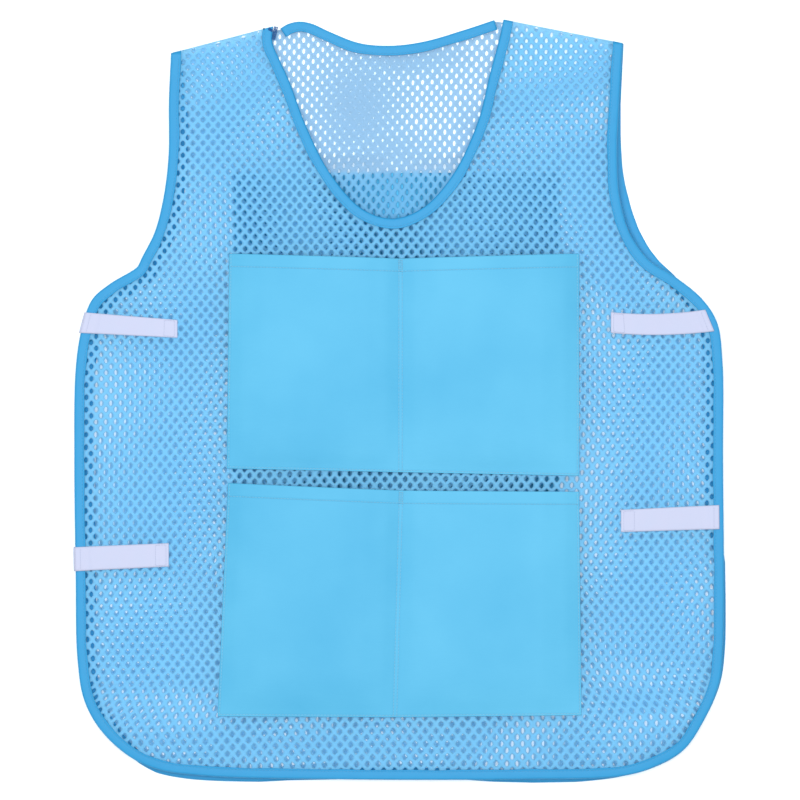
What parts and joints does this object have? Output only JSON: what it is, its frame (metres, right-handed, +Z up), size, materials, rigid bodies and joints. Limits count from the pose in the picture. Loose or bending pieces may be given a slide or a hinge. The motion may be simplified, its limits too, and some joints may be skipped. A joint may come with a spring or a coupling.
{
  "type": "cooling vest",
  "caption": "Open-net tabard vest lying flat, with woven ice-pack pocket rows on front and back, folded edge binding and white side straps.",
  "frame": {"origin": "on the surface it lies on, under the middle of the whole vest", "axes": "+X to the viewer's right, +Y towards the shoulders, +Z up, out of the vest's front"},
  "size_m": [0.5876, 0.6878, 0.0256],
  "materials": {
    "net": "sky-blue open polyester net",
    "pocket": "smooth plain-woven sky-blue cloth",
    "binding": "deeper blue woven tape with a slight sheen",
    "strap": "white woven tape"
  },
  "bodies": {
    "root": {"front_panel": "net", "back_panel": "net", "front_edge_binding": "binding", "back_edge_binding": "binding", "front_neck_binding": "binding", "back_neck_binding": "binding", "front_pocket_upper": "pocket", "front_pocket_lower": "pocket", "back_pocket_lower": "pocket", "back_pocket_upper": "pocket", "strap_left_upper": "strap", "strap_left_lower": "strap", "strap_right_upper": "strap", "strap_right_lower": "strap"}
  },
  "joints": []
}
